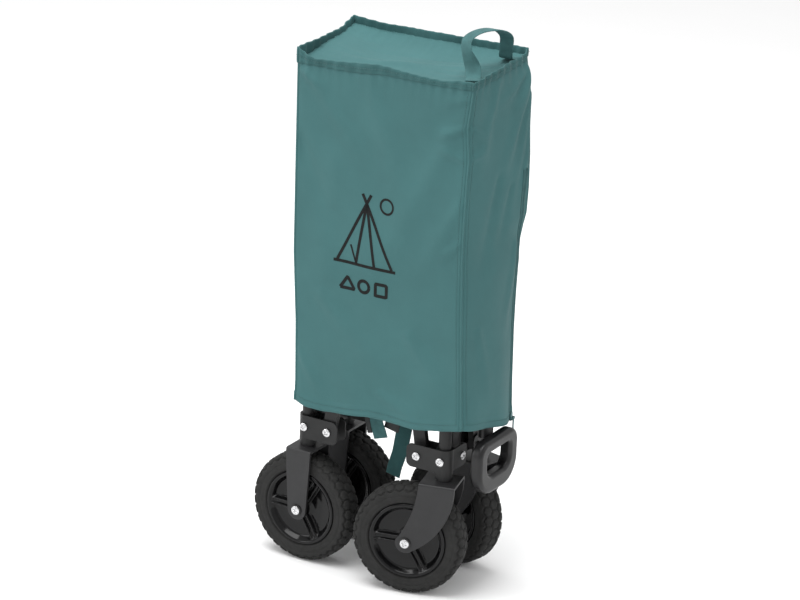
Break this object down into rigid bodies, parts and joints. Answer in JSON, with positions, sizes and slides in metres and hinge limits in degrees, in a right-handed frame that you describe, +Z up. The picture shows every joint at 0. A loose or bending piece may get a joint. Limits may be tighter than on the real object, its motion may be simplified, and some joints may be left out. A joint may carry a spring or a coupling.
{
  "type": "folding camp wagon",
  "caption": "Four-wheeled wagon with scissor frame, folded upright under a fabric storage cover, with caster wheels and a telescopic pull handle.",
  "frame": {"origin": "on the ground, under the middle of the folded wagon with its cover on", "axes": "+X towards the pull handle and the casters, +Z up, +Y to the wagon's left"},
  "size_m": [0.381, 0.206, 0.8243],
  "materials": {
    "frame_paint": "matt black powder coat",
    "fork_paint": "satin charcoal powder coat",
    "bolt_steel": "bright zinc plated",
    "tyre_rubber": "matt foam rubber tread",
    "rim_plastic": "glossy injection moulded",
    "grip_plastic": "fine moulded texture",
    "cover_fabric": "plain woven polyester",
    "webbing_teal": "ribbed webbing",
    "zip_coil": "zip tape with nylon coil",
    "zip_metal": "enamelled die casting",
    "bag_fabric": "coated polyester"
  },
  "bodies": {
    "rear_left_corner": {"post_rear_left": "frame_paint", "lower_bracket_rear_left": "frame_paint", "corner_bolts_rear_left": "bolt_steel", "fork_rear_left": "fork_paint", "axle_bolt_rear_left": "bolt_steel"},
    "side_left_rear_rising": {"side_bar_left_rear_rising": "frame_paint"},
    "side_left_rear_falling": {"side_bar_left_rear_falling": "frame_paint"},
    "side_left_front_falling": {"side_bar_left_front_falling": "frame_paint"},
    "side_left_front_rising": {"side_bar_left_front_rising": "frame_paint"},
    "front_left_corner": {"post_front_left": "frame_paint", "lower_bracket_front_left": "frame_paint", "corner_bolts_front_left": "bolt_steel"},
    "rear_left_top": {"inner_leg_rear_left": "frame_paint", "top_bracket_rear_left": "frame_paint"},
    "front_left_top": {"inner_leg_front_left": "frame_paint", "top_bracket_front_left": "frame_paint"},
    "rear_end_from_left": {"end_bar_rear_from_left": "frame_paint"},
    "rear_end_from_right": {"end_bar_rear_from_right": "frame_paint"},
    "rear_right_corner": {"post_rear_right": "frame_paint", "lower_bracket_rear_right": "frame_paint", "corner_bolts_rear_right": "bolt_steel", "fork_rear_right": "fork_paint", "axle_bolt_rear_right": "bolt_steel"},
    "side_right_rear_rising": {"side_bar_right_rear_rising": "frame_paint"},
    "side_right_rear_falling": {"side_bar_right_rear_falling": "frame_paint"},
    "side_right_front_falling": {"side_bar_right_front_falling": "frame_paint"},
    "side_right_front_rising": {"side_bar_right_front_rising": "frame_paint"},
    "front_right_corner": {"post_front_right": "frame_paint", "lower_bracket_front_right": "frame_paint", "corner_bolts_front_right": "bolt_steel"},
    "rear_right_top": {"inner_leg_rear_right": "frame_paint", "top_bracket_rear_right": "frame_paint"},
    "front_right_top": {"inner_leg_front_right": "frame_paint", "top_bracket_front_right": "frame_paint"},
    "front_end_from_left": {"end_bar_front_from_left": "frame_paint"},
    "front_end_from_right": {"end_bar_front_from_right": "frame_paint"},
    "handle_mount": {"handle_bracket": "frame_paint"},
    "wheel_rear_left": {"rim_rear_left": "rim_plastic", "tyre_rear_left": "tyre_rubber"},
    "wheel_rear_right": {"rim_rear_right": "rim_plastic", "tyre_rear_right": "tyre_rubber"},
    "caster_front_left": {"fork_front_left": "fork_paint", "axle_bolt_front_left": "bolt_steel"},
    "wheel_front_left": {"rim_front_left": "rim_plastic", "tyre_front_left": "tyre_rubber"},
    "caster_front_right": {"fork_front_right": "fork_paint", "axle_bolt_front_right": "bolt_steel"},
    "wheel_front_right": {"rim_front_right": "rim_plastic", "tyre_front_right": "tyre_rubber"},
    "handle_outer": {"handle_tube_outer": "frame_paint"},
    "handle_middle": {"handle_tube_middle": "frame_paint"},
    "handle_inner": {"handle_tube_inner": "frame_paint", "handle_grip": "grip_plastic"},
    "cover": {"storage_cover": "cover_fabric", "zip_tape": "zip_coil", "carry_strap": "webbing_teal"},
    "zip": {"zip_slider": "zip_metal"},
    "zip_tab": {"zip_pull": "zip_metal"},
    "bag": {"cargo_bag": "bag_fabric", "bag_webbing": "webbing_teal"}
  },
  "joints": [
    {"name": "unfold", "type": "hinge", "parent": "rear_left_corner", "child": "side_left_rear_rising", "pos_m": [-0.062, 0.054, 0.214], "axis": [0, 1, 0], "range_deg": [0, 48.86], "deforming": ["storage_cover", "zip_tape", "carry_strap", "zip_slider", "zip_pull"]},
    {"name": "left_rear_crossing", "type": "hinge", "parent": "side_left_rear_rising", "child": "side_left_rear_falling", "pos_m": [-0.01887, 0.054, 0.48053], "axis": [0, 1, 0], "range_deg": [-97.67, 0]},
    {"name": "left_middle_hinge", "type": "hinge", "parent": "side_left_rear_rising", "child": "side_left_front_falling", "pos_m": [0.015, 0.054, 0.68981], "axis": [0, 1, 0], "range_deg": [-97.67, 0]},
    {"name": "left_front_crossing", "type": "hinge", "parent": "side_left_front_falling", "child": "side_left_front_rising", "pos_m": [0.04887, 0.054, 0.48053], "axis": [0, 1, 0], "range_deg": [0, 97.67]},
    {"name": "front_left_foot_hinge", "type": "hinge", "parent": "side_left_front_falling", "child": "front_left_corner", "pos_m": [0.092, 0.054, 0.214], "axis": [0, 1, 0], "range_deg": [0, 48.86]},
    {"name": "rear_left_top_hinge", "type": "hinge", "parent": "side_left_rear_falling", "child": "rear_left_top", "pos_m": [-0.062, 0.054, 0.74706], "axis": [0, 1, 0], "range_deg": [0, 48.86]},
    {"name": "front_left_top_hinge", "type": "hinge", "parent": "side_left_front_rising", "child": "front_left_top", "pos_m": [0.092, 0.054, 0.74706], "axis": [0, 1, 0], "range_deg": [-48.86, 0]},
    {"name": "rear_end_foot_hinge", "type": "hinge", "parent": "rear_left_corner", "child": "rear_end_from_left", "pos_m": [-0.102, 0.024, 0.214], "axis": [1, 0, 0], "range_deg": [0, 52.58]},
    {"name": "rear_end_crossing", "type": "hinge", "parent": "rear_end_from_left", "child": "rear_end_from_right", "pos_m": [-0.102, 0, 0.48053], "axis": [1, 0, 0], "range_deg": [-105.12, 0]},
    {"name": "rear_right_foot_hinge", "type": "hinge", "parent": "rear_end_from_right", "child": "rear_right_corner", "pos_m": [-0.102, -0.024, 0.214], "axis": [1, 0, 0], "range_deg": [0, 52.58]},
    {"name": "right_rear_rising_hinge", "type": "hinge", "parent": "rear_right_corner", "child": "side_right_rear_rising", "pos_m": [-0.062, -0.054, 0.214], "axis": [0, 1, 0], "range_deg": [0, 48.86]},
    {"name": "right_rear_crossing", "type": "hinge", "parent": "side_right_rear_rising", "child": "side_right_rear_falling", "pos_m": [-0.01887, -0.054, 0.48053], "axis": [0, 1, 0], "range_deg": [-97.67, 0]},
    {"name": "right_middle_hinge", "type": "hinge", "parent": "side_right_rear_rising", "child": "side_right_front_falling", "pos_m": [0.015, -0.054, 0.68981], "axis": [0, 1, 0], "range_deg": [-97.67, 0]},
    {"name": "right_front_crossing", "type": "hinge", "parent": "side_right_front_falling", "child": "side_right_front_rising", "pos_m": [0.04887, -0.054, 0.48053], "axis": [0, 1, 0], "range_deg": [0, 97.67]},
    {"name": "front_right_foot_hinge", "type": "hinge", "parent": "side_right_front_falling", "child": "front_right_corner", "pos_m": [0.092, -0.054, 0.214], "axis": [0, 1, 0], "range_deg": [0, 48.86]},
    {"name": "rear_right_top_hinge", "type": "hinge", "parent": "side_right_rear_falling", "child": "rear_right_top", "pos_m": [-0.062, -0.054, 0.74706], "axis": [0, 1, 0], "range_deg": [0, 48.86]},
    {"name": "front_right_top_hinge", "type": "hinge", "parent": "side_right_front_rising", "child": "front_right_top", "pos_m": [0.092, -0.054, 0.74706], "axis": [0, 1, 0], "range_deg": [-48.86, 0]},
    {"name": "front_end_foot_hinge", "type": "hinge", "parent": "front_left_corner", "child": "front_end_from_left", "pos_m": [0.132, 0.024, 0.214], "axis": [1, 0, 0], "range_deg": [0, 52.58]},
    {"name": "front_end_crossing", "type": "hinge", "parent": "front_end_from_left", "child": "front_end_from_right", "pos_m": [0.132, 0, 0.48053], "axis": [1, 0, 0], "range_deg": [-105.12, 0]},
    {"name": "handle_mount_hinge", "type": "hinge", "parent": "front_end_from_left", "child": "handle_mount", "pos_m": [0.148, 0, 0.48053], "axis": [1, 0, 0], "range_deg": [-52.58, 0]},
    {"name": "wheel_spin_rear_left", "type": "hinge", "parent": "rear_left_corner", "child": "wheel_rear_left", "pos_m": [-0.102, 0.054, 0.085], "axis": [0, 1, 0], "continuous": true},
    {"name": "wheel_spin_rear_right", "type": "hinge", "parent": "rear_right_corner", "child": "wheel_rear_right", "pos_m": [-0.102, -0.054, 0.085], "axis": [0, 1, 0], "continuous": true},
    {"name": "caster_swivel_front_left", "type": "hinge", "parent": "front_left_corner", "child": "caster_front_left", "pos_m": [0.132, 0.054, 0.18], "axis": [0, 0, 1], "range_deg": [-130, 50]},
    {"name": "wheel_spin_front_left", "type": "hinge", "parent": "caster_front_left", "child": "wheel_front_left", "pos_m": [0.0864, 0.06537, 0.085], "axis": [0.2419, 0.9703, 0], "continuous": true},
    {"name": "caster_swivel_front_right", "type": "hinge", "parent": "front_right_corner", "child": "caster_front_right", "pos_m": [0.132, -0.054, 0.18], "axis": [0, 0, 1], "range_deg": [-50, 130]},
    {"name": "wheel_spin_front_right", "type": "hinge", "parent": "caster_front_right", "child": "wheel_front_right", "pos_m": [0.0864, -0.06537, 0.085], "axis": [-0.2419, 0.9703, 0], "continuous": true},
    {"name": "handle_swing", "type": "hinge", "parent": "handle_mount", "child": "handle_outer", "pos_m": [0.168, 0, 0.48053], "axis": [0, -1, 0], "range_deg": [0, 100]},
    {"name": "handle_extend_middle", "type": "slide", "parent": "handle_outer", "child": "handle_middle", "axis": [0, 0, -1], "range_m": [0, 0.1401]},
    {"name": "handle_extend_inner", "type": "slide", "parent": "handle_middle", "child": "handle_inner", "axis": [0, 0, -1], "range_m": [0, 0.1401]},
    {"name": "cover_lift", "type": "slide", "parent": "rear_left_corner", "child": "cover", "axis": [0, 0, 1], "range_m": [0, 0.6]},
    {"name": "zip_run", "type": "slide", "parent": "cover", "child": "zip", "axis": [0, 0, 1], "range_m": [0, 0.34]},
    {"name": "zip_tab_hinge", "type": "hinge", "parent": "zip", "child": "zip_tab", "pos_m": [0.18106, 0.06062, 0.253], "axis": [0.2425, -0.9701, 0], "range_deg": [0, 150]},
    {"name": "bag_centres", "type": "slide", "parent": "rear_left_corner", "child": "bag", "axis": [0.854, -0.5203, 0], "range_m": [0, 0.3888]}
  ],
  "couplings": [
    {"joint": "left_rear_crossing", "follows": "unfold", "ratio": -2},
    {"joint": "left_middle_hinge", "follows": "unfold", "ratio": -2},
    {"joint": "left_front_crossing", "follows": "unfold", "ratio": 2},
    {"joint": "front_left_foot_hinge", "follows": "unfold", "ratio": 1},
    {"joint": "rear_left_top_hinge", "follows": "unfold", "ratio": 1},
    {"joint": "front_left_top_hinge", "follows": "unfold", "ratio": -1},
    {"joint": "rear_end_foot_hinge", "follows": "unfold", "ratio": 1.0764},
    {"joint": "rear_end_crossing", "follows": "unfold", "ratio": -2.1527},
    {"joint": "rear_right_foot_hinge", "follows": "unfold", "ratio": 1.0764},
    {"joint": "right_rear_rising_hinge", "follows": "unfold", "ratio": 1},
    {"joint": "right_rear_crossing", "follows": "unfold", "ratio": -2},
    {"joint": "right_middle_hinge", "follows": "unfold", "ratio": -2},
    {"joint": "right_front_crossing", "follows": "unfold", "ratio": 2},
    {"joint": "front_right_foot_hinge", "follows": "unfold", "ratio": 1},
    {"joint": "rear_right_top_hinge", "follows": "unfold", "ratio": 1},
    {"joint": "front_right_top_hinge", "follows": "unfold", "ratio": -1},
    {"joint": "front_end_foot_hinge", "follows": "unfold", "ratio": 1.0764},
    {"joint": "front_end_crossing", "follows": "unfold", "ratio": -2.1527},
    {"joint": "handle_mount_hinge", "follows": "unfold", "ratio": -1.0764},
    {"joint": "handle_extend_middle", "follows": "handle_swing", "m_per_rad": 0.080214},
    {"joint": "handle_extend_inner", "follows": "handle_swing", "m_per_rad": 0.080214},
    {"joint": "bag_centres", "follows": "unfold", "m_per_rad": 0.45606}
  ]
}
